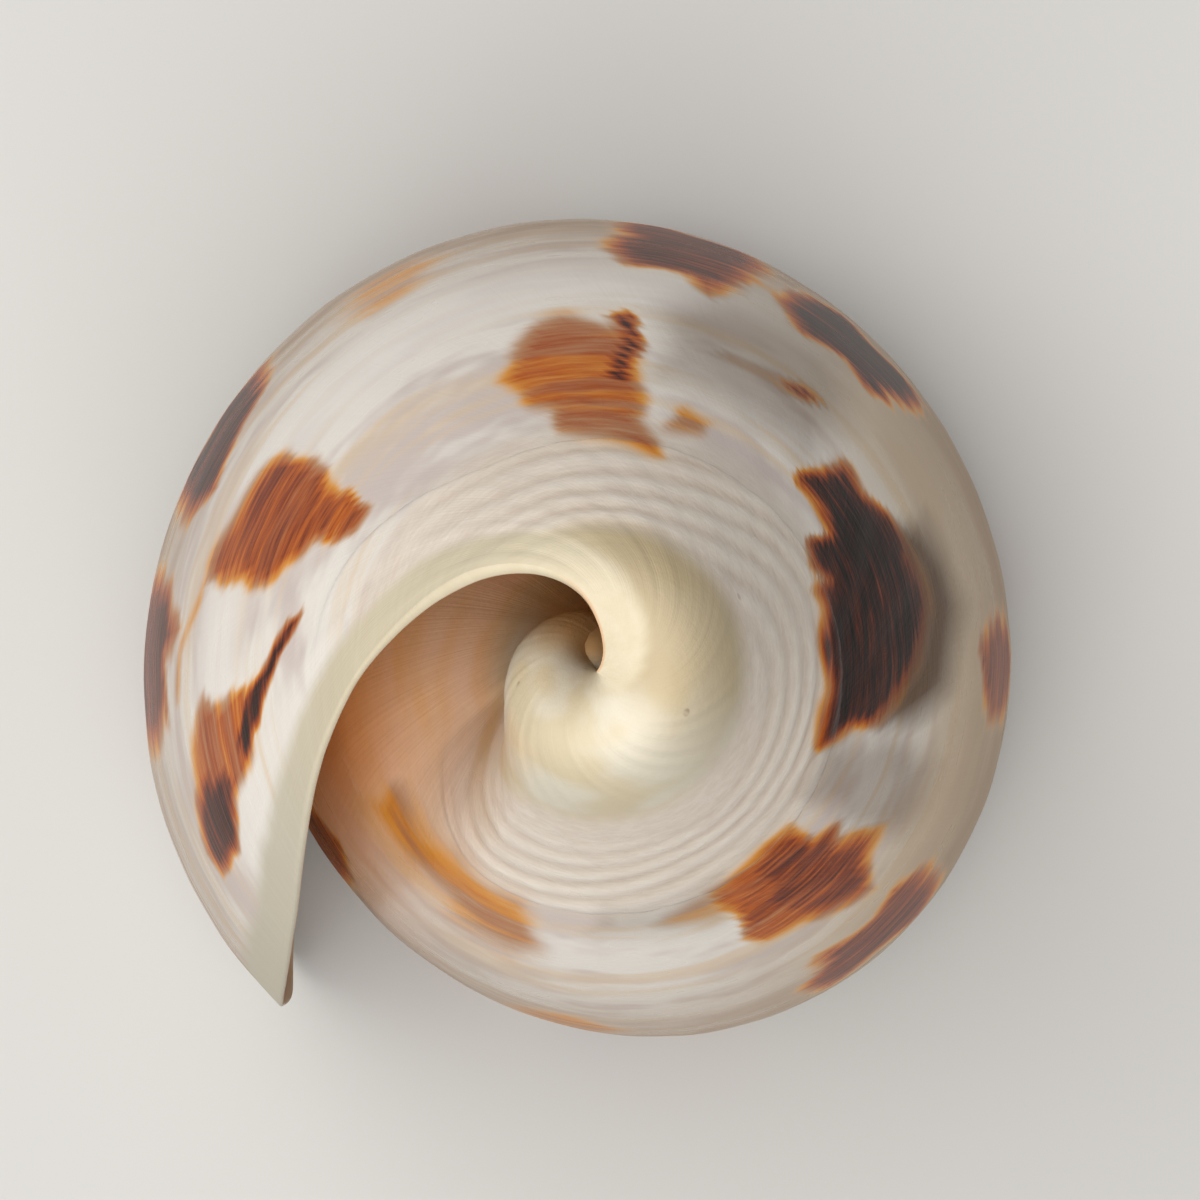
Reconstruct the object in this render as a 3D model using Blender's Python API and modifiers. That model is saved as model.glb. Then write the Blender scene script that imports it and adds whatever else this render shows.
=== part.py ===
"""Cone shell, standing on its flat spire with the narrow front end up.

The shell is one grown piece. Its wall is the lip's edge carried back around the axis, turned and shrunk at each
step by the same ratio. The oldest turns are solid, and the last three quarters of a turn are an open wall.
Metres, with +Z up the axis. The widest ring of the spire rests on z = 0.
"""

import math

import bmesh
import bpy
from mathutils import Vector

# Growth
WHORL_RATIO = 1.34  # width after one full turn
TALL_RATIO = 1.13  # height of the front end after one full turn
LIP_ANGLE = 226.4  # degrees round the axis, at the shoulder of the lip
WALL_STEP = 6.0  # degrees between sections of the last turn
OLD_STEP = 10.0  # degrees between sections of the older turns
OLD_TURNS_START = -1260.0  # degrees, where the modelled spire begins
LAST_TURN_START = -140.0  # degrees
CHAMBER_END = -36.0  # degrees, where the open chamber closes
CHAMBER_BLEND = 24.0  # degrees over which it opens

# Where the axis stands, so that the middle of the box is on the origin
AXIS_AT = (0.001213, -0.001193, 0.0)

# Wall
WALL = 0.0013
LIP_WALL = 0.0005
LIP_TAPER = 22.0  # degrees over which the wall thins to the lip
FRONT_WALL = 0.0010  # thickness around the front opening

# Slow swelling of the outline as the shell grew
SWELL = 0.038
SWELL_AT = -50.0  # degrees
SWELL_PERIOD = 165.0  # degrees
SWELL_LOSS = 0.00011  # lost for each degree
SWELL_TOP = 0.050  # height at which the swelling has faded
LIP_DRAW = 0.020  # how far the last stretch of the lip draws in

# Solid filling of the older turns
CORE_RADIUS = 0.0004
DISH = 0.0006  # how far the middle of the spire lies above its widest ring
FLOOR_HEIGHT = 0.006
FLOOR_SHARE = 0.35

# Lip edge from the suture to the front: height, radius, degrees behind the shoulder
LIP_EDGE = [
    (0.0022, 0.0128, 16.0),
    (0.0008, 0.0148, 9.0),
    (0.0000, 0.0164, 4.5),
    (0.0000, 0.0170, 3.0),
    (0.0013, 0.0182, 1.2),
    (0.0050, 0.0186, 0.0),
    (0.0130, 0.0182, 0.0),
    (0.0210, 0.0172, 0.4),
    (0.0285, 0.0158, 1.4),
    (0.0350, 0.0143, 3.2),
    (0.0405, 0.0126, 6.6),
    (0.0445, 0.0111, 11.8),
    (0.0475, 0.00985, 19.5),
    (0.0505, 0.0085, 30.5),
    (0.0530, 0.00735, 41.0),
    (0.0555, 0.00605, 54.0),
    (0.0575, 0.0050, 70.0),
    (0.0590, 0.0041, 88.0),
    (0.0599, 0.00315, 107.0),
    (0.0602, 0.0022, 126.0),
    (0.0600, 0.0013, 142.0),
]
CREST = 2  # first point that the swelling reaches fully

# Columella, the pillar that the turns wind round: radius, height
PILLAR = [
    (0.0, 0.0003),
    (0.0052, 0.00042),
    (0.00575, 0.0009),
    (0.0056, 0.0050),
    (0.0026, 0.0150),
    (0.0022, 0.0320),
    (0.0018, 0.0480),
    (0.0015, 0.0540),
    (0.0012, 0.0570),
    (0.0010, 0.0584),
    (0.0006, 0.0591),
    (0.0, 0.0593),
]
PILLAR_STEPS = 16


def smooth(low, high, value):
    share = min(1.0, max(0.0, (value - low) / (high - low)))
    return share * share * (3 - 2 * share)


def size(turn):
    """Size at this angle of growth, against 1 at the lip."""
    return WHORL_RATIO ** ((turn - LIP_ANGLE) / 360)


def dish(scale):
    return DISH * (1 - smooth(0.30, 0.75, scale))


def lift(height, turn):
    """Height at this angle of growth: the shoulder grows with the width, and the front end more slowly."""
    share = smooth(0.003, 0.020, height)
    tall = TALL_RATIO ** ((turn - LIP_ANGLE) / 360)
    return height * (size(turn) * (1 - share) + tall * share)


def swelling(angle, height, index):
    share = SWELL - SWELL_LOSS * (angle - SWELL_AT)
    share *= smooth(-260, -150, angle) * min(1.0, index / CREST)
    share *= max(0.15, 1 - height / SWELL_TOP)
    wave = math.cos(2 * math.pi * (angle - SWELL_AT) / SWELL_PERIOD)
    return 1 + share * wave - LIP_DRAW * smooth(195, 235, angle) * min(1.0, index / CREST)


def inward(index):
    """Unit direction from the outer surface into the wall, in the plane of radius and height."""
    before = LIP_EDGE[max(0, index - 1)]
    after = LIP_EDGE[min(len(LIP_EDGE) - 1, index + 1)]
    run = Vector((after[1] - before[1], after[0] - before[0])).normalized()
    return Vector((-run.y, run.x))


def place(radius, height, angle):
    turned = math.radians(angle)
    return Vector((radius * math.cos(turned), radius * math.sin(turned), height))


def outer_point(index, turn):
    height, radius, lag = LIP_EDGE[index]
    scale = size(turn)
    angle = turn - lag
    grown = lift(height, turn)
    swollen = scale * radius * swelling(angle, grown, index)
    return place(swollen, grown + dish(scale), angle)


def filled_point(index, turn):
    """Where the wall's inner line goes in the solid turns: along the axis, then out over a floor."""
    scale = size(turn)
    share = index / (len(LIP_EDGE) - 1)
    if share > FLOOR_SHARE:
        up = (share - FLOOR_SHARE) / (1 - FLOOR_SHARE)
        top = lift(LIP_EDGE[-1][0], turn) - WALL
        floor = scale * FLOOR_HEIGHT
        return CORE_RADIUS, floor + (top - floor) * up
    out = 1 - share / FLOOR_SHARE
    rim_height, rim_radius, _ = LIP_EDGE[0]
    rise = FLOOR_HEIGHT + (rim_height + WALL - FLOOR_HEIGHT) * out
    return CORE_RADIUS + (scale * rim_radius - CORE_RADIUS) * out, scale * rise


def inner_point(index, turn):
    height, radius, lag = LIP_EDGE[index]
    scale = size(turn)
    angle = turn - lag
    thickness = WALL if radius > LIP_EDGE[-6][1] else FRONT_WALL
    thickness = LIP_WALL + (thickness - LIP_WALL) * smooth(0, LIP_TAPER, LIP_ANGLE - turn)
    way = inward(index)
    grown = lift(height, turn)
    swollen = scale * radius * swelling(angle, grown, index)
    open_radius = max(CORE_RADIUS, swollen + way.x * thickness)
    open_height = grown + way.y * thickness
    shut_radius, shut_height = filled_point(index, turn)
    opened = smooth(CHAMBER_END, CHAMBER_END + CHAMBER_BLEND, turn)
    return place(
        shut_radius + (open_radius - shut_radius) * opened,
        shut_height + (open_height - shut_height) * opened + dish(scale),
        angle,
    )


def grow_wall():
    """The lip's edge, thickened and carried back round the axis section by section."""
    mesh = bpy.data.meshes.new("cone_shell")
    bm = bmesh.new()
    row = bm.verts.layers.int.new("row")
    count = len(LIP_EDGE)
    chain = [bm.verts.new(outer_point(index, LIP_ANGLE)) for index in range(count)]
    for index, vert in enumerate(chain):
        vert[row] = index
    edges = [bm.edges.new(pair) for pair in zip(chain, chain[1:])]
    thickened = bmesh.ops.extrude_edge_only(bm, edges=edges)["geom"]
    for vert in [item for item in thickened if isinstance(item, bmesh.types.BMVert)]:
        vert[row] += count
        vert.co = inner_point(vert[row] - count, LIP_ANGLE)
    section = [item for item in thickened if isinstance(item, bmesh.types.BMFace)]
    turn = LIP_ANGLE
    while turn > OLD_TURNS_START:
        passed = [] if turn == LIP_ANGLE else section
        turn -= WALL_STEP if turn > LAST_TURN_START else OLD_STEP
        grown = bmesh.ops.extrude_face_region(bm, geom=section)["geom"]
        section = [item for item in grown if isinstance(item, bmesh.types.BMFace)]
        bmesh.ops.delete(bm, geom=[face for face in passed if face.is_valid], context="FACES")
        for vert in [item for item in grown if isinstance(item, bmesh.types.BMVert)]:
            if vert[row] < count:
                vert.co = outer_point(vert[row], turn)
            else:
                vert.co = inner_point(vert[row] - count, turn)
    bmesh.ops.recalc_face_normals(bm, faces=bm.faces)
    bm.to_mesh(mesh)
    bm.free()
    return bpy.data.objects.new("cone_shell", mesh)


def turn_pillar():
    """The columella: a profile turned about the axis."""
    mesh = bpy.data.meshes.new("columella")
    bm = bmesh.new()
    points = [bm.verts.new((radius, 0, height)) for radius, height in PILLAR]
    for pair in zip(points, points[1:]):
        bm.edges.new(pair)
    bm.to_mesh(mesh)
    bm.free()
    pillar = bpy.data.objects.new("columella", mesh)
    screw = pillar.modifiers.new("turned", "SCREW")
    screw.steps = PILLAR_STEPS
    screw.render_steps = PILLAR_STEPS
    screw.use_merge_vertices = True
    screw.merge_threshold = 0.00001
    screw.use_normal_calculate = True
    return pillar


for old in list(bpy.data.objects):
    bpy.data.objects.remove(old)

shells = bpy.data.collections.new("Cone shell")
helpers = bpy.data.collections.new("Helpers")
helpers.hide_render = True
bpy.context.scene.collection.children.link(shells)
bpy.context.scene.collection.children.link(helpers)

shell = grow_wall()
shell.location = AXIS_AT
shells.objects.link(shell)
columella = turn_pillar()
columella.location = AXIS_AT
columella.hide_render = True
columella.display_type = "WIRE"
helpers.objects.link(columella)

joined = shell.modifiers.new("grown together", "BOOLEAN")
joined.operation = "UNION"
joined.solver = "EXACT"
joined.use_self = True
joined.object = columella

porcelain = bpy.data.materials.new("shell")
porcelain.use_nodes = True
surface = porcelain.node_tree.nodes["Principled BSDF"]
surface.inputs["Base Color"].default_value = (0.80, 0.72, 0.60, 1)
surface.inputs["Roughness"].default_value = 0.35
surface.inputs["Metallic"].default_value = 0.0
shell.data.materials.append(porcelain)
for face in shell.data.polygons:
    face.use_smooth = True
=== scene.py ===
import math

import bmesh
import bpy
from mathutils import Matrix, Vector, noise


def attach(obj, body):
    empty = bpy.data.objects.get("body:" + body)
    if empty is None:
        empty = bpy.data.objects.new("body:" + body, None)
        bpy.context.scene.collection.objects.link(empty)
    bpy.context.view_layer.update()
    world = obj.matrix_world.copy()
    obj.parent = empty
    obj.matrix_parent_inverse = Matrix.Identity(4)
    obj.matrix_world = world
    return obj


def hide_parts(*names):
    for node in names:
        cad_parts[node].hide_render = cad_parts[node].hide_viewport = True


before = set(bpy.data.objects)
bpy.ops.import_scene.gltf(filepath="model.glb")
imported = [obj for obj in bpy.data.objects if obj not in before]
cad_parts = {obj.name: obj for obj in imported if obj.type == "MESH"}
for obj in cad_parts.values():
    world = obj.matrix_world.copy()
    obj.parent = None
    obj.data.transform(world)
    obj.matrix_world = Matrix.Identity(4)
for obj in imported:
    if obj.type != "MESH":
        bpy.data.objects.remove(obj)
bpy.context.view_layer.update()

# Shell wall
# The shell is one wall of porcelain-like lime, about a millimetre thick, rolled round its axis. It grows at
# the lip's edge alone, so every older part is the same edge carried back, turned and made smaller. The seams
# of the oldest turns show on the flat spire, and the last turn stands open behind the lip.

AXIS_AT = Vector((0.001213, -0.001193, 0))  # metres
LIP_ANGLE = 226.4  # degrees round the axis
WIDTH_RATIO = 1.34  # gained in a full turn
HEIGHT_RATIO = 1.13

# The lip's edge from the seam to the front end: height and radius in millimetres, degrees behind the
# shoulder, and the rows of points up to the next
LIP_EDGE = [
    (2.2, 12.8, 24.0, 4),
    (0.8, 14.8, 15.8, 3),
    (0.05, 16.4, 8.7, 2),
    (0.05, 17.0, 5.9, 4),
    (1.3, 18.2, 1.8, 5),
    (5.0, 18.5, 0.0, 6),
    (13.0, 18.1, 0.0, 7),
    (21.0, 17.1, 0.6, 7),
    (28.5, 15.8, 1.9, 8),
    (35.0, 14.3, 4.4, 8),
    (40.5, 12.6, 8.8, 8),
    (44.5, 11.1, 15.0, 12),
    (47.5, 9.85, 22.2, 14),
    (50.5, 8.5, 32.4, 14),
    (53.0, 7.35, 43.2, 14),
    (55.5, 6.05, 57.4, 12),
    (57.5, 5.0, 73.0, 10),
    (59.0, 4.1, 90.0, 9),
    (59.9, 3.15, 109.0, 7),
    (60.2, 2.2, 127.0, 6),
    (60.0, 1.3, 142.0, 5),
    (59.7, 0.75, 156.0, 4),
    (59.4, 0.3, 172.0, 3),
    (59.3, 0.06, 186.0, 0),
]


def smooth(low, high, value):
    """Rises smoothly from 0 at low to 1 at high."""
    share = min(1.0, max(0.0, (value - low) / (high - low)))
    return share * share * (3 - 2 * share)


def curve_through(points):
    """A smooth curve through the measured points of the lip's edge, in millimetres and degrees."""
    ends = [points[0]] + points + [points[-1]]
    found = []
    for before, start, end, after in zip(ends, ends[1:], ends[2:], ends[3:]):
        for row in range(start[3]):
            u = row / start[3]
            found.append([
                0.5 * (
                    2 * b + (c - a) * u + (2 * a - 5 * b + 4 * c - d) * u**2 + (3 * b - a - 3 * c + d) * u**3
                )
                for a, b, c, d in zip(before[:3], start[:3], end[:3], after[:3])
            ])
    found.append(list(points[-1][:3]))
    return found


edge_rows = curve_through(LIP_EDGE)
last_row = len(edge_rows) - 1
run_to = [0.0]  # millimetres along the edge, from the front end
for after, before in zip(reversed(edge_rows), reversed(edge_rows[:-1])):
    run_to.insert(0, run_to[0] + math.hypot(after[0] - before[0], after[1] - before[1]))
seam_rows = sum(point[3] for point in LIP_EDGE[:2])
shoulder_rows = sum(point[3] for point in LIP_EDGE[:6])


def out_of_wall(row):
    """Radius and height parts of the direction that points out of the wall at this row."""
    before = edge_rows[max(0, row - 1)]
    after = edge_rows[min(last_row, row + 1)]
    run = Vector((after[1] - before[1], after[0] - before[0])).normalized()
    return run.y, -run.x


outward = [out_of_wall(row) for row in range(last_row + 1)]


# The raised front band: where it ends, as a radius on the lip's edge, and the ridges on it, in millimetres
BAND_EDGE = 9.8
BAND_NARROWS = 2.9
BAND_WIDENS = 1.9
BAND_HEIGHT = 0.26
RIDGES_APART = 0.72
RIDGE_HEIGHT = 0.065
WAVE_HEIGHT = 0.035


def band_edge(angle):
    """Radius on the lip's edge where the raised front band ends, which moves as the shell grows."""
    early = BAND_EDGE - BAND_NARROWS * smooth(-130, 150, angle)
    return early + BAND_WIDENS * smooth(112, 175, angle)


def ridging(row, angle):
    """Height of the wavy ridges on the front band at this point, from -1 in a groove to 1 on a crest."""
    radius = edge_rows[row][1]
    past_edge = band_edge(angle) - radius
    around = Vector((math.cos(math.radians(angle)), math.sin(math.radians(angle)), radius * 0.25))
    ring = (past_edge - 0.004 * (angle - 40) + 0.75 * noise.noise(around)) / RIDGES_APART
    inside = smooth(0.0, 0.35, past_edge) * (1 - smooth(2.6, 3.9, past_edge))
    near_lip = (1 - smooth(90, 165, angle)) * smooth(-185, -110, angle)
    worn = 0.55 + 0.45 * noise.noise(Vector((angle * 0.03, radius * 1.7, 5.0)))
    return (2 * (1 - abs(2 * (ring % 1.0) - 1)) ** 0.8 - 1) * inside * near_lip * worn


def relief(row, turn, angle):
    """How far the surface stands out in millimetres: the raised front band, its ridges and fine waves."""
    radius = edge_rows[row][1]
    edge = band_edge(angle)
    fresh = smooth(-165, -100, angle)
    on_band = (1 - smooth(edge - 0.12, edge + 0.08, radius)) * fresh * (1 - smooth(140, 185, angle))
    ridges = RIDGE_HEIGHT * ridging(row, angle) * (0.30 + 0.70 * fresh)
    waves = WAVE_HEIGHT * noise.noise(Vector((turn * 0.16, row * 0.02, 3.1)))
    return BAND_HEIGHT * on_band + ridges + waves * smooth(1.0, 4.0, radius)


# A slow swelling of the outline as the shell grew, and the places where it draws in
SWELL = 0.038
SWELL_LOSS = 0.00011  # lost for each degree
SWELL_AT = -50  # degrees
SWELL_PERIOD = 165  # degrees
SWELL_TOP = 50  # millimetres up, where it has faded
LIP_DRAW = 0.020
CORE_DRAW = 0.60
NECK_DRAW = 0.42  # below the knob that the turn before ends in
DISH = 0.6  # millimetres that the middle of the spire lies above its widest ring
AXIS_GAP = 0.012  # millimetres kept free round the axis


def swelling(row, angle, grown):
    """Width of the shell at this point, against 1 for even growth."""
    from_seam = min(1.0, row / seam_rows)
    swell = (SWELL - SWELL_LOSS * (angle - SWELL_AT)) * smooth(-260, -150, angle) * from_seam
    swell *= max(0.15, 1 - grown / SWELL_TOP)
    wave = math.cos(2 * math.pi * (angle - SWELL_AT) / SWELL_PERIOD)
    return 1 + swell * wave - LIP_DRAW * smooth(195, 235, angle) * from_seam


def surface_point(row, turn, depth=0.0, advance=0.0):
    """A point of the wall at this row and angle of growth, depth millimetres inside the outer face."""
    height, radius, lag = edge_rows[row]
    angle = turn - lag
    wide = WIDTH_RATIO ** ((turn - LIP_ANGLE) / 360)
    tall = HEIGHT_RATIO ** ((turn - LIP_ANGLE) / 360)
    share = smooth(3, 20, height)
    held = (1 - smooth(2, 9, radius)) * (1 - smooth(-20, -290, angle))
    tall = 1 - (1 - tall) * (1 - held)
    grown = height * (wide * (1 - share) + tall * share)
    core = CORE_DRAW * min(1, max(0, (-135 - angle) / 180)) * (1 - smooth(7, 13, radius))
    neck = NECK_DRAW * smooth(-118, -165, angle) * smooth(3.6, 6.5, radius) * (1 - smooth(7.5, 12.5, radius))
    out_radius, out_height = outward[row]
    stand = (relief(row, turn, angle) if depth == 0 else 0) - depth
    far = wide * radius * swelling(row, angle, grown) * (1 - core) * (1 - neck) + out_radius * stand
    far = max(AXIS_GAP, far)
    high = grown + out_height * stand + DISH * (1 - smooth(0.30, 0.75, wide)) * min(1, wide / 0.1)
    turned = math.radians(angle + advance)
    return Vector((far * math.cos(turned), far * math.sin(turned), high)) / 1000


WALL = 1.3  # millimetres
FRONT_WALL = 1.0  # where the lip's edge lies close to the axis
FRONT_RADIUS = 5.5
LIP_WALL = 0.20
LIP_TAPER = 26  # degrees over which the wall thins to the lip


def wall_depth(row, turn):
    """Thickness of the wall in millimetres at this row and angle of growth."""
    thick = WALL if edge_rows[row][1] > FRONT_RADIUS else FRONT_WALL
    return LIP_WALL + (thick - LIP_WALL) * smooth(0, LIP_TAPER, LIP_ANGLE - turn)


shell_mesh = bmesh.new()
turn_of = shell_mesh.verts.layers.float.new("turn")
row_of = shell_mesh.verts.layers.int.new("row")
side_of = shell_mesh.verts.layers.int.new("inside")
outer_chain = [shell_mesh.verts.new(surface_point(row, LIP_ANGLE)) for row in range(last_row + 1)]
for row, vert in enumerate(outer_chain):
    vert[row_of] = row
    vert[turn_of] = LIP_ANGLE
outer_edges = [shell_mesh.edges.new(pair) for pair in zip(outer_chain, outer_chain[1:])]


def verts_in(items):
    return [item for item in items if isinstance(item, bmesh.types.BMVert)]


def edges_in(items):
    return [item for item in items if isinstance(item, bmesh.types.BMEdge)]


def chip(row):
    """Degrees of the lip's edge lost to small chips."""
    rough = noise.noise(Vector((row * 0.21, 7.3, 0)))
    return 0.25 * max(0.0, rough - 0.12) * smooth(60, 90, row) * (1 - smooth(150, 170, row))


# The rounded edge of the lip, from the outer face over to the inner face: shares of the thickness and bulge
LIP_ROUNDING = ((0.12, 0.65), (0.5, 1.0), (0.88, 0.65), (1.0, 0.0))
LIP_BULGE = 0.07  # millimetres
edge_now = outer_edges
for share, advance in LIP_ROUNDING:
    made = bmesh.ops.extrude_edge_only(shell_mesh, edges=edge_now)["geom"]
    fresh = set(verts_in(made))
    edge_now = [edge for edge in edges_in(made) if edge.verts[0] in fresh and edge.verts[1] in fresh]
    for vert in fresh:
        row = vert[row_of]
        bulge = advance * math.degrees(LIP_BULGE / max(1.5, edge_rows[row][1]))
        vert.co = surface_point(row, LIP_ANGLE, share * wall_depth(row, LIP_ANGLE), bulge - chip(row))
        vert[side_of] = 1 if share > 0.5 else 0
inner_edges = edge_now


def carry_back(edges, turn, inside):
    """Extrudes a run of edges back to this angle of growth."""
    made = bmesh.ops.extrude_edge_only(shell_mesh, edges=edges)["geom"]
    fresh = set(verts_in(made))
    for vert in fresh:
        depth = wall_depth(vert[row_of], turn) if inside else 0.0
        vert.co = surface_point(vert[row_of], turn, depth)
        vert[turn_of] = turn
        vert[side_of] = inside
    return [edge for edge in edges_in(made) if edge.verts[0] in fresh and edge.verts[1] in fresh]


# Degrees of growth where the wall's inner face ends, where only the shoulder still shows, and where it starts
CHAMBER_END = -165
FRONT_END = -420
OLDEST = -2500


def step_back(turn):
    """Degrees to the next section, small at the lip and wide in the old turns."""
    return 1.0 if turn > 205 else 2.0 if turn > -160 else 4.0 if turn > FRONT_END else 6.0


def below_shoulder(edge):
    return max(vert[row_of] for vert in edge.verts) <= shoulder_rows


turn = LIP_ANGLE
while turn > OLDEST:
    turn -= step_back(turn)
    if turn < FRONT_END and len(outer_edges) > shoulder_rows:
        outer_edges = [edge for edge in outer_edges if below_shoulder(edge)]
    outer_edges = carry_back(outer_edges, turn, 0)
    if turn > CHAMBER_END:
        inner_edges = carry_back(inner_edges, turn, 1)

# Blotches of pigment seen from the front: tone, softness of the edge, and outline, as degrees round the axis
# and distance out from it in the picture
FRONT_BLOTCHES = [
    (0.45, 13, [
        (101, 238), (91, 230), (76, 217), (73, 220), (76, 240), (80, 255), (81, 275), (82, 300),
        (84, 330), (96, 358), (102, 352), (105, 338), (107, 315), (111, 303), (106, 285), (106, 268),
        (101, 258),
    ]),
    (0.80, 5, [(89, 290), (85.5, 286), (84, 320), (85, 356), (88, 352), (87, 320)]),
    (0.34, 8, [(77, 246), (66, 250), (65, 268), (72, 276)]),
    (0.94, 8, [
        (43, 284), (42, 272), (36, 270), (29, 267), (32, 251), (31, 243), (26, 240), (20, 246),
        (17, 262), (15, 285), (17, 312), (22, 326), (29, 321), (34, 311), (40, 315), (42, 300),
    ]),
    (0.88, 11, [
        (27, 262), (22, 241), (20, 230), (13, 227), (1, 226), (-14, 229), (-20, 231), (-17, 246),
        (-13, 262), (-11, 282), (-6, 298), (2, 318), (10, 330), (20, 326), (26, 300),
    ]),
    (0.92, 8, [(18, 236), (4, 232), (-8, 236), (2, 256), (12, 268), (20, 262)]),
    (0.66, 11, [
        (-31, 320), (-33, 305), (-37, 296), (-34, 285), (-39, 270), (-40, 250), (-46, 245), (-54, 246),
        (-55, 300), (-52, 322), (-46, 342), (-40, 349), (-36, 327),
    ]),
    (0.54, 8, [
        (-44, 248), (-54, 244), (-64, 248), (-65, 266), (-62, 280), (-64, 305), (-60, 322), (-50, 326),
    ]),
    (0.30, 9, [(-60, 246), (-76, 250), (-79, 266), (-70, 280), (-62, 276)]),
    (0.36, 24, [
        (-102, 296), (-104, 262), (-108, 240), (-119, 234), (-150, 228), (-152, 285), (-134, 284),
        (-122, 300), (-108, 310),
    ]),
    (0.56, 9, [
        (153, 296), (152, 300), (147, 300), (146, 320), (144, 340), (144, 370), (147, 392), (154, 398),
        (161, 402), (168, 408), (167, 390), (166, 372), (168, 360), (165, 342), (160, 320), (155, 315),
    ]),
    (0.52, 6, [(155, 290), (151, 279), (144, 281), (144, 306), (150, 318), (155, 312)]),
    (0.40, 5, [(168, 404), (164, 399), (176, 424), (184, 436), (185, 430)]),
    (0.78, 7, [
        (209, 438), (206, 412), (202, 396), (198, 384), (195, 392), (195, 420), (199, 431), (205, 441),
    ]),
    (0.50, 7, [
        (199, 382), (194, 362), (188, 351), (184, 351), (184, 380), (186, 404), (190, 419), (197, 428),
    ]),
    (0.92, 4, [
        (196, 376), (190, 350), (184, 334), (177, 322), (169, 304), (173, 322), (181, 341), (187, 358),
        (191, 374),
    ]),
    (0.66, 5, [(58, 328), (52, 330), (50, 342), (54, 346), (57, 337)]),
    (0.34, 7, [(70, 330), (58, 329), (57, 338), (68, 337)]),
]
# The rows of blotches further down the side: tone, softness, and outline, as degrees and millimetres up
SIDE_BLOTCHES = [
    (0.74, 16, [
        (90, 27), (86, 31), (78, 30), (75, 33), (70, 28), (68, 20), (70, 13), (78, 15), (84, 12),
        (89, 14), (88, 21),
    ]),
    (0.90, 14, [
        (64, 26), (60, 31), (52, 29), (46, 31), (40, 24), (40, 17), (50, 19), (56, 16), (62, 20),
    ]),
    (0.62, 16, [(7, 24), (3, 29), (-4, 27), (-9, 24), (-8, 15), (-3, 12), (2, 14), (6, 17)]),
    (0.66, 18, [
        (-32, 25), (-37, 29), (-45, 27), (-54, 29), (-59, 21), (-56, 14), (-48, 17), (-40, 12),
        (-34, 16),
    ]),
    (0.74, 16, [
        (191, 24), (187, 30), (180, 28), (176, 32), (170, 27), (169, 18), (172, 12), (180, 15),
        (186, 11), (190, 15),
    ]),
    (0.82, 16, [
        (161, 26), (156, 30), (149, 28), (141, 25), (139, 17), (146, 13), (151, 16), (159, 13),
    ]),
    (0.30, 22, [(129, 27), (123, 31), (115, 29), (111, 22), (116, 17), (127, 19)]),
    (0.34, 22, [(-86, 20), (-95, 24), (-106, 21), (-108, 14), (-98, 12), (-90, 13)]),
    (0.62, 16, [
        (-139, 23), (-146, 28), (-154, 25), (-160, 20), (-159, 12), (-150, 14), (-145, 10), (-140, 15),
    ]),
    (0.72, 20, [(112, 7), (104, 8), (98, 4), (104, 1), (112, 2)]),
    (0.72, 20, [(20, 6), (10, 7), (6, 3), (12, 0), (20, 2)]),
    (0.66, 20, [(-70, 6), (-80, 6), (-84, 2), (-76, 0), (-70, 2)]),
]
# Greyish patches over the ground and the weaker parts of some blotches
SMOKE = [
    (1.00, 14, [(28, 306), (8, 296), (-12, 284), (-10, 318), (-3, 345), (10, 360), (24, 350)]),
    (0.50, 16, [(-20, 236), (-31, 240), (-33, 290), (-30, 340), (-18, 346), (-12, 300)]),
    (0.50, 20, [(78, 300), (62, 290), (46, 296), (44, 340), (52, 384), (70, 392), (80, 360)]),
    (0.40, 16, [(-62, 246), (-90, 246), (-92, 268), (-66, 278)]),
]
DEGREE_ACROSS = 5.0  # a degree round the shell, set against one step out from the axis
HEIGHT_ACROSS = 22.0  # a millimetre up the side, against the same


def inside_by(outline, angle, across):
    """How far a point lies inside an outline, or outside it as a negative number."""
    nearest = math.inf
    inside = False
    for (x0, y0), (x1, y1) in zip(outline, outline[1:] + outline[:1]):
        wide = x1 - x0
        deep = y1 - y0
        share = min(1, max(0, ((angle - x0) * wide + (across - y0) * deep) / (wide * wide + deep * deep)))
        nearest = min(nearest, math.hypot(angle - x0 - share * wide, across - y0 - share * deep))
        if (y0 > across) != (y1 > across) and angle < x0 + (across - y0) / deep * wide:
            inside = not inside
    return nearest if inside else -nearest


def scaled(marks, step):
    """The marks with their outlines in even steps, and the box that each one lies in."""
    found = []
    for tone, soft, outline in marks:
        outline = [(at * DEGREE_ACROSS, across * step) for at, across in outline]
        ends = [(min(part) - soft, max(part) + soft) for part in zip(*outline)]
        found.append((tone, soft, outline, ends))
    return found


def strength(marks, angle, across):
    """Strength of the marks at this point, with edges that wander and fall off."""
    where = Vector((angle * 0.02, across * 0.035, 2.0))
    wander = noise.noise(where) * 12 + noise.noise(where * 3.1) * 5
    angle += wander
    across += noise.noise(where + Vector((0, 0, 9))) * 7
    most = 0.0
    for tone, soft, outline, ((left, right), (low, high)) in marks:
        if left < angle < right and low < across < high:
            share = 0.5 + inside_by(outline, angle, across) / (2 * soft)
            most = max(most, tone * min(1, max(0, share)))
    return most


front_marks = scaled(FRONT_BLOTCHES, 1)
side_marks = scaled(SIDE_BLOTCHES, HEIGHT_ACROSS)
smoke_marks = scaled(SMOKE, 1)

SIGHT = 5315  # steps of the picture's 1200 that a metre takes at a metre from the camera
CAMERA_HEIGHT = 0.210  # metres

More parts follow.
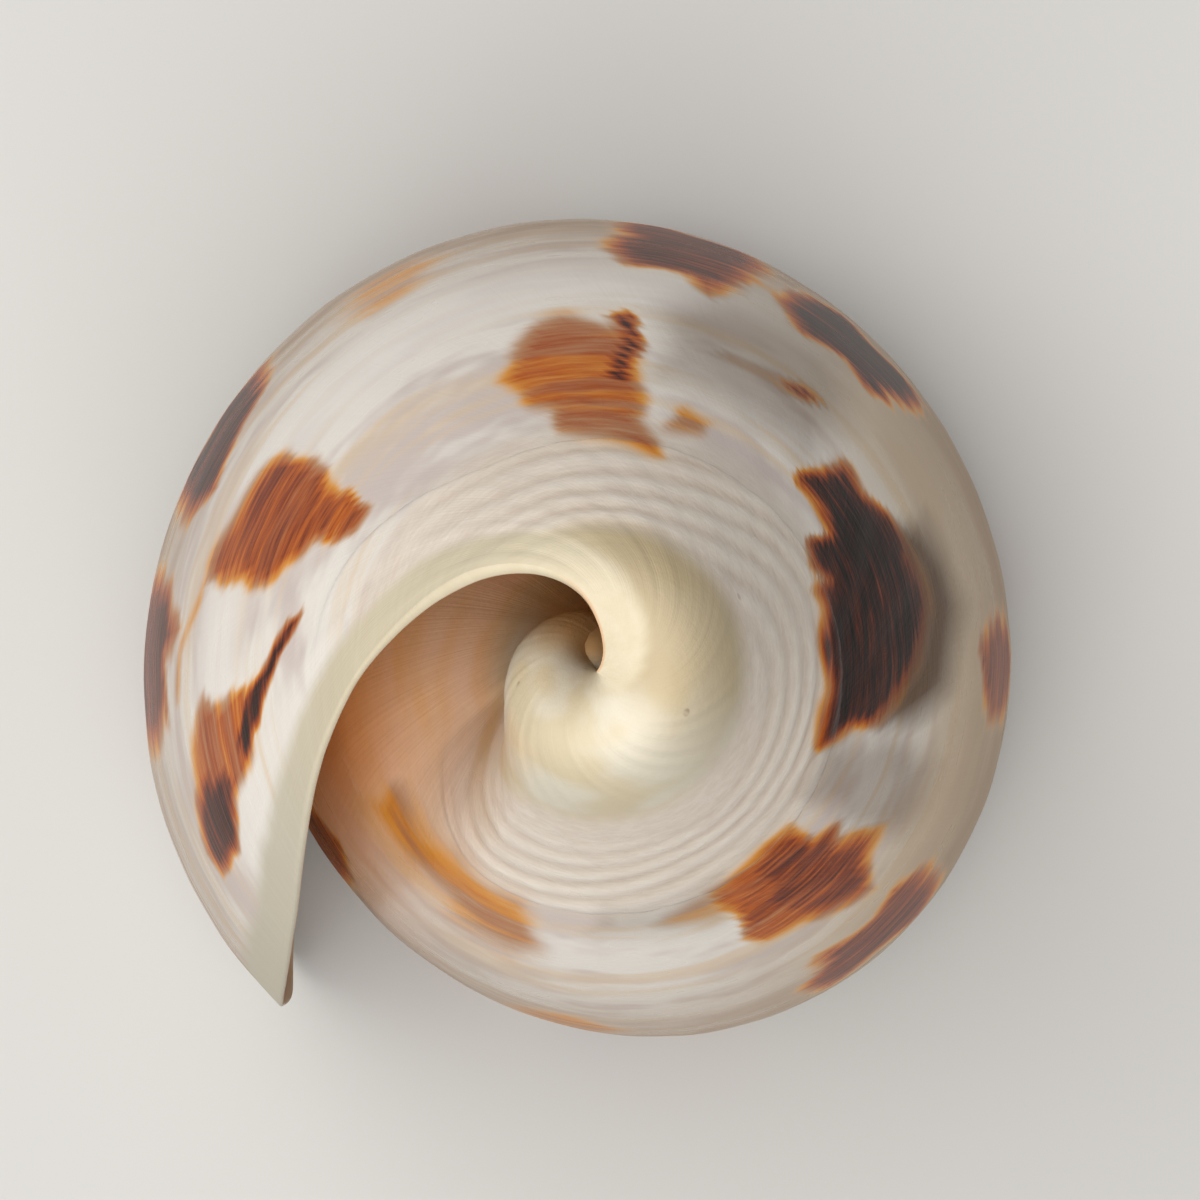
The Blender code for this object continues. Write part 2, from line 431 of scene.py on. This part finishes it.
# What the colours follow: the angle round the axis, how far out a point lies as seen from the front end, the
# distance to the lip's edge, the ridges, the side of the wall, the pigment and the smoky patches
angle_of = shell_mesh.verts.layers.float.new("angle")
spread_of = shell_mesh.verts.layers.float.new("spread")
run_of = shell_mesh.verts.layers.float.new("run")
lip_of = shell_mesh.verts.layers.float.new("from_lip")
ridge_of = shell_mesh.verts.layers.float.new("ridge")
within_of = shell_mesh.verts.layers.float.new("within")
pigment_of = shell_mesh.verts.layers.float.new("pigment")
smoke_of = shell_mesh.verts.layers.float.new("smoke")
for vert in shell_mesh.verts:
    vert[angle_of] = vert[turn_of] - edge_rows[vert[row_of]][2]
    vert[spread_of] = SIGHT * vert.co.xy.length / (CAMERA_HEIGHT - vert.co.z)
    vert[run_of] = run_to[vert[row_of]] * WIDTH_RATIO ** ((vert[turn_of] - LIP_ANGLE) / 360)
    vert[lip_of] = math.radians(LIP_ANGLE - vert[turn_of]) * vert.co.xy.length * 1000
    vert[ridge_of] = ridging(vert[row_of], vert[angle_of])
    vert[within_of] = vert[side_of]
    around = vert[angle_of] * DEGREE_ACROSS
    beside = strength(side_marks, around, vert.co.z * 1000 * HEIGHT_ACROSS)
    vert[pigment_of] = max(beside, strength(front_marks, around, vert[spread_of]))
    vert[smoke_of] = strength(smoke_marks, around, vert[spread_of])

bmesh.ops.recalc_face_normals(shell_mesh, faces=shell_mesh.faces)
for face in shell_mesh.faces:
    face.smooth = True
shell_data = bpy.data.meshes.new("shell wall")
shell_mesh.to_mesh(shell_data)
shell_mesh.free()
shell_wall = bpy.data.objects.new("shell_wall", shell_data)
bpy.context.scene.collection.objects.link(shell_wall)
shell_data.transform(Matrix.Translation(AXIS_AT))


class Flow:
    """A number or colour on its way through the porcelain's nodes. Sums on it add Math nodes."""

    def __init__(self, nodes, socket=None):
        self.nodes = nodes
        self.socket = socket

    def node(self, kind, values, settings=None, out=0):
        """Adds a node of this kind, with its settings first and then the values or links of its sockets."""
        made = self.nodes.new(kind)
        for name, setting in (settings or {}).items():
            if name == "stops":
                while len(made.color_ramp.elements) < len(setting):
                    made.color_ramp.elements.new(1)
                for stop, (place, colour) in zip(made.color_ramp.elements, setting):
                    stop.position = place
                    stop.color = colour
            else:
                setattr(made, name, setting)
        for name, value in values.items():
            if isinstance(value, Flow):
                self.nodes.id_data.links.new(value.socket, made.inputs[name])
            else:
                made.inputs[name].default_value = value
        return Flow(self.nodes, made.outputs[out])

    def sum(self, operation, first, second):
        return self.node("ShaderNodeMath", {0: first, 1: second}, {"operation": operation})

    def __add__(self, other):
        return self.sum("ADD", self, other)

    __radd__ = __add__

    def __sub__(self, other):
        return self.sum("SUBTRACT", self, other)

    def __rsub__(self, other):
        return self.sum("SUBTRACT", other, self)

    def __mul__(self, other):
        return self.sum("MULTIPLY", self, other)

    __rmul__ = __mul__

    def __truediv__(self, other):
        return self.sum("DIVIDE", self, other)

    def most(self, other):
        return self.sum("MAXIMUM", self, other)

    def fade(self, low, high):
        """Rises smoothly from 0 at low to 1 at high, or falls where low is the greater."""
        ends = {"Value": self, "From Min": low, "From Max": high}
        return self.node("ShaderNodeMapRange", ends, {"interpolation_type": "SMOOTHSTEP"})

    def tint(self, first, second):
        """Goes from the first colour to the second as this value goes from 0 to 1."""
        return self.node("ShaderNodeMix", {0: self, 6: first, 7: second}, {"data_type": "RGBA"}, 2)


def paint(red, green, blue):
    """A colour given as it looks on a screen, from 0 to 255."""
    return tuple(((part / 255 + 0.055) / 1.055) ** 2.4 for part in (red, green, blue)) + (1,)


porcelain = bpy.data.materials.new("porcelain")
porcelain.use_nodes = True
glaze = porcelain.node_tree.nodes["Principled BSDF"]
start = Flow(porcelain.node_tree.nodes)


def measure(name):
    return start.node("ShaderNodeAttribute", {}, {"attribute_name": name}, 2)


def cloud(along, across, seed, detail=3.0):
    """Uneven patches drawn out along the spiral: degrees long, and millimetres across."""
    where = start.node("ShaderNodeCombineXYZ", {0: angle / along, 1: run / across, 2: seed})
    levels = {"Vector": where, "Scale": 1.0, "Detail": detail, "Roughness": 0.6}
    return start.node("ShaderNodeTexNoise", levels)


angle = measure("angle")
spread = measure("spread")
run = measure("run")
turned = measure("turn")
from_lip = measure("from_lip")
ridge = measure("ridge")
within = measure("within")
pigment = measure("pigment")
smoke = measure("smoke")
where = start.node("ShaderNodeTexCoord", {}, out=3)
height = start.node("ShaderNodeSeparateXYZ", {0: where}, out=2) * 1000
broad = cloud(34, 4.2, 1.7)
hairs = cloud(16, 0.36, 8.2)
fine = cloud(5, 0.18, 4.4, 2.0)
warmth = cloud(70, 2.2, 6.1, 2.0)

# Short flames of pigment across the seams of the flat spire
flames = start.node("ShaderNodeCombineXYZ", {0: angle / 17, 1: height * 0.25, 2: 2.2})
flames = start.node("ShaderNodeTexNoise", {"Vector": flames, "Scale": 1.0, "Detail": 1.0})
pigment = (flames.fade(0.53, 0.62) * height.fade(4.5, 2.5) * 0.70).most(pigment)

# The pale strip along the lip has no pigment, and neither have the worn front and the inner face
strip = (from_lip + (broad - 0.5) * 1.2).fade(2.3, 1.3)
coloured = (1 - strip) * (1 - within) * spread.fade(190, 225).most(height.fade(12, 6))
ragged = ((hairs - 0.5) * 1.15 + (fine - 0.5) * 0.25) * (0.25 + pigment.fade(0.25, 0.60) * 0.75)
pigment = pigment * (1 + ragged + (broad - 0.5) * 0.40) * coloured

# The ground: white and lilac-grey clouds, a milky girdle, and painted shade where the sides turn from the
# light:
# straw on the right and tan lower down
white = paint(236, 230, 222)
lilac_grey = paint(211, 198, 192)
warm_cream = paint(226, 202, 170)
milk = paint(238, 233, 227)
straw_shade = paint(204, 178, 142)
rim_shade_tan = paint(165, 135, 104)
girdle = spread.fade(350, 374) * spread.fade(414, 398) * height.fade(18, 26)
right_shade = angle.fade(-90, -20) * angle.fade(80, 30) * spread.fade(300, 370)
ground = broad.fade(0.42, 0.62).tint(white, lilac_grey)
ground = (warmth.fade(0.48, 0.66) * 0.6).tint(ground, warm_cream)
ground = (girdle * 0.75).tint(ground, milk)
# Painted shade in straw on the right side, which faces away from the light
ground = (right_shade * 0.85).tint(ground, straw_shade)
# Painted shade in tan lower down, where the sides turn away from the light, varied by the broad clouds
ground = (height.fade(38, 15) * 0.85 * (0.40 + broad)).tint(ground, rim_shade_tan)

# The ridged front band, with painted shade in its grooves and painted highlight on its crests, and the creamy
# worn end inside it, with painted shade on its right side
groove = paint(200, 180, 162)
crest = paint(246, 238, 226)
ivory = paint(216, 209, 191)
cream = paint(208, 195, 166)
shaded_cream = paint(178, 160, 126)
# Painted shade in the grooves and painted highlight on the crests of the ridges
ridge_shading = (ridge * 0.5 + 0.5 + (fine - 0.5) * 0.6).tint(groove, crest)
ground = (spread.fade(128, 160) * spread.fade(262, 232) * 0.9).tint(ground, ridge_shading)
worn_end_and_shade = warmth.fade(0.40, 0.60).tint(ivory, cream)
# Painted shade in olive cream on the worn end's right side, which faces away from the light
worn_end_and_shade = (angle.fade(-70, 10) * angle.fade(120, 70) * 0.80).tint(worn_end_and_shade, shaded_cream)
ground = spread.fade(162, 136).tint(ground, worn_end_and_shade)

# The wall inside the opening is tan, with a painted glow of light through the wall that brightens it and
# deepens it to orange-brown towards the lip and above the tip
peach = paint(240, 202, 172)
sand = paint(234, 186, 134)
apricot_glow = paint(244, 164, 88)
knob_shade_tan = paint(208, 168, 118)
inner_face = paint(222, 196, 166)
shaded = angle.fade(-112, -172)
inner_wall_glow = warmth.fade(0.35, 0.65).tint(peach, sand)
# Painted glow of light through the wall, orange-brown towards the lip and above the tip
inner_wall_glow = (spread.fade(170, 300) * 0.8).most(angle.fade(-205, -262)).tint(inner_wall_glow, apricot_glow)
ground = (shaded * spread.fade(84, 128) * height.fade(16, 24)).tint(ground, inner_wall_glow)
# Painted shade in tan on the upper half of the knob, which lies deeper
ground = (angle.fade(-188, -240) * spread.fade(130, 90)).tint(ground, knob_shade_tan)
ground = within.tint(ground, inner_face)

# The blotches, from a pale stain through orange or red-brown to nearly black, and the smoky patches
umber = paint(100, 72, 46)
veil_brown = paint(92, 64, 42)
orange_stain = [
    (0.0, paint(234, 204, 156)),
    (0.32, paint(222, 152, 62)),
    (0.50, paint(190, 94, 18)),
    (0.66, paint(134, 54, 14)),
    (0.80, paint(76, 28, 10)),
    (1.0, paint(24, 8, 3)),
]
brown_stain = [
    (0.0, paint(220, 200, 178)),
    (0.32, paint(188, 140, 102)),
    (0.50, paint(170, 86, 36)),
    (0.66, paint(120, 52, 26)),
    (0.80, paint(66, 26, 14)),
    (1.0, paint(24, 8, 3)),
]
ground = (smoke * coloured).tint(ground, umber)
stain = warmth.fade(0.44, 0.56).tint(
    start.node("ShaderNodeValToRGB", {0: pigment}, {"stops": brown_stain}),
    start.node("ShaderNodeValToRGB", {0: pigment}, {"stops": orange_stain}),
)
colour = pigment.fade(0.06, 0.36).tint(ground, stain)
veil = smoke * pigment.fade(0.85, 0.45) * pigment.fade(0.02, 0.20) * 0.8
colour = veil.tint(colour, veil_brown)
towards_front = spread.fade(380, 240)
strip_light = towards_front.tint(paint(206, 200, 184), paint(214, 205, 182))
strip_dark = towards_front.tint(paint(196, 188, 168), paint(204, 192, 164))
colour = (strip * (1 - within)).tint(colour, hairs.tint(strip_light, strip_dark))

# Tiny specks on the worn front, and a painted amber glow of light through the thin edge at the lip's inner
# end
speck_brown = paint(120, 96, 70)
amber_glow = paint(206, 132, 62)
specks = start.node("ShaderNodeTexVoronoi", {"Vector": where, "Scale": 520.0})
specks = specks.fade(0.085, 0.045) * broad.fade(0.50, 0.56) * spread.fade(170, 150).most(strip)
colour = (specks * 0.6).tint(colour, speck_brown)
thin_edge_glow = from_lip.fade(0.10, 0.03) * angle.fade(118, 88)
colour = (thin_edge_glow * 0.45).tint(colour, amber_glow)

# The gloss is low, and lower still on the strip and the worn end
links = porcelain.node_tree.links
links.new(colour.socket, glaze.inputs["Base Color"])
roughness = 0.24 + broad * 0.08 + strip * 0.18 + spread.fade(170, 140) * 0.08
links.new(roughness.socket, glaze.inputs["Roughness"])
glaze.inputs["Specular IOR Level"].default_value = 0.015

# Fine growth lines and the worn grain of the surface
lines = start.node("ShaderNodeCombineXYZ", {0: turned / 0.9, 1: run / 5, 2: 1.1})
lines = start.node("ShaderNodeTexNoise", {"Vector": lines, "Scale": 1.0, "Detail": 2.0})
grain = start.node("ShaderNodeTexNoise", {"Vector": where, "Scale": 1500.0, "Detail": 1.0})
raised = lines * 0.6 + fine * 0.8 + grain * 0.25
bumps = start.node("ShaderNodeBump", {"Height": raised, "Strength": 0.5, "Distance": 0.00003})
links.new(bumps.socket, glaze.inputs["Normal"])
shell_data.materials.append(porcelain)
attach(shell_wall, "root")
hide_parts("cone_shell")

# Columella
# The pillar in the middle that the turns wind round. It is the same lime as the wall, grown solid, and its
# rounded top shows beside the inner end of the lip, with painted shade in tan on its upper side.

# Its profile from the top down: radius and height in millimetres
PILLAR = [
    (0.0, 54.6), (0.3, 54.5), (0.6, 54.2), (0.9, 53.6), (1.2, 52.6), (1.5, 51.0),
    (1.6, 49.0), (1.8, 40.0), (2.0, 30.0), (2.6, 14.0), (2.6, 5.0),
]
PILLAR_STEPS = 32
LEAN = Vector((-0.00045, 0.00025, 0))  # metres that its top leans
pillar_mesh = bmesh.new()
points = [pillar_mesh.verts.new((radius / 1000, 0, height / 1000)) for radius, height in PILLAR]
edges = [pillar_mesh.edges.new(pair) for pair in zip(points, points[1:])]
bmesh.ops.spin(
    pillar_mesh,
    geom=points + edges,
    cent=(0, 0, 0),
    axis=(0, 0, 1),
    angle=2 * math.pi,
    steps=PILLAR_STEPS,
    use_merge=True,
)
bmesh.ops.remove_doubles(pillar_mesh, verts=pillar_mesh.verts, dist=1e-6)
bmesh.ops.recalc_face_normals(pillar_mesh, faces=pillar_mesh.faces)
for face in pillar_mesh.faces:
    face.smooth = True
for vert in pillar_mesh.verts:
    vert.co += LEAN * smooth(0.048, 0.058, vert.co.z) + AXIS_AT
pillar_data = bpy.data.meshes.new("columella")
pillar_mesh.to_mesh(pillar_data)
pillar_mesh.free()
columella = bpy.data.objects.new("columella", pillar_data)
bpy.context.scene.collection.objects.link(columella)

# The levels that the porcelain's colours follow: painted shade in tan on the upper side, as on the wall
# inside the opening
shade_side = [-165 - 75 * smooth(-0.0004, 0.0008, vert.co.y - AXIS_AT.y) for vert in pillar_data.vertices]
pillar_data.attributes.new("angle", "FLOAT", "POINT").data.foreach_set("value", shade_side)
for name, level in (("spread", 40.0), ("from_lip", 50.0)):
    pillar_data.attributes.new(name, "FLOAT", "POINT").data.foreach_set("value", [level] * len(shade_side))
pillar_data.materials.append(porcelain)
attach(columella, "root")

# Floor
# A plain pale sheet that the shell stands on, two metres to each side so that no edge shows. It has a dull,
# even finish.

FLOOR_GREY = (0.58, 0.58, 0.57, 1)
floor_mesh = bmesh.new()
bmesh.ops.create_grid(floor_mesh, x_segments=1, y_segments=1, size=2)
floor_data = bpy.data.meshes.new("floor")
floor_mesh.to_mesh(floor_data)
floor_mesh.free()
floor = bpy.data.objects.new("floor", floor_data)
bpy.context.scene.collection.objects.link(floor)
floor_paint = bpy.data.materials.new("pale floor")
floor_paint.use_nodes = True
floor_finish = floor_paint.node_tree.nodes["Principled BSDF"]
floor_finish.inputs["Base Color"].default_value = FLOOR_GREY
floor_finish.inputs["Roughness"].default_value = 0.9
floor_data.materials.append(floor_paint)

# Light
# Two large soft lamps as in a studio, one at the upper left of the picture and one at its foot, both a little
# warm, in an even pale surround.

WARM_WHITE = (1, 0.975, 0.94)
LAMPS = (  # name, place in metres, watts, metres across
    ("window", (-0.15, 0.11, 0.40), 1.15, 0.34),
    ("overhead", (-0.02, -0.15, 0.45), 1.45, 0.30),
)
AIMED_AT = Vector((0, 0, 0.035))
for name, place, power, across in LAMPS:
    light = bpy.data.lights.new(name, "AREA")
    light.energy = power
    light.color = WARM_WHITE
    light.size = across
    lamp = bpy.data.objects.new(name, light)
    lamp.location = place
    lamp.rotation_euler = (AIMED_AT - Vector(place)).to_track_quat("-Z", "Y").to_euler()
    bpy.context.scene.collection.objects.link(lamp)
surround = bpy.data.worlds.new("surround")
surround.use_nodes = True
surround.node_tree.nodes["Background"].inputs["Color"].default_value = (1, 1, 1, 1)
surround.node_tree.nodes["Background"].inputs["Strength"].default_value = 0.26
bpy.context.scene.world = surround
bpy.context.scene.view_settings.view_transform = "Standard"

# Camera
# It looks down the shell's axis from 15 cm above the front end, as the photograph was taken. It stands a
# little beside the axis and is turned by less than a degree, which frames the shell as in the photograph.

SENSOR = 36  # millimetres
PICTURE_WIDE = 1200  # steps
BESIDE_AXIS = (0.001677, 0.001455)  # metres
CAMERA_TURN = (0.00385, 0.0104, 0)
lens = bpy.data.cameras.new("camera")
lens.sensor_width = SENSOR
lens.lens = SIGHT / PICTURE_WIDE * SENSOR
lens.clip_start = 0.01
camera = bpy.data.objects.new("camera", lens)
camera.location = AXIS_AT + Vector((*BESIDE_AXIS, CAMERA_HEIGHT))
camera.rotation_euler = CAMERA_TURN
bpy.context.scene.collection.objects.link(camera)
bpy.context.scene.camera = camera
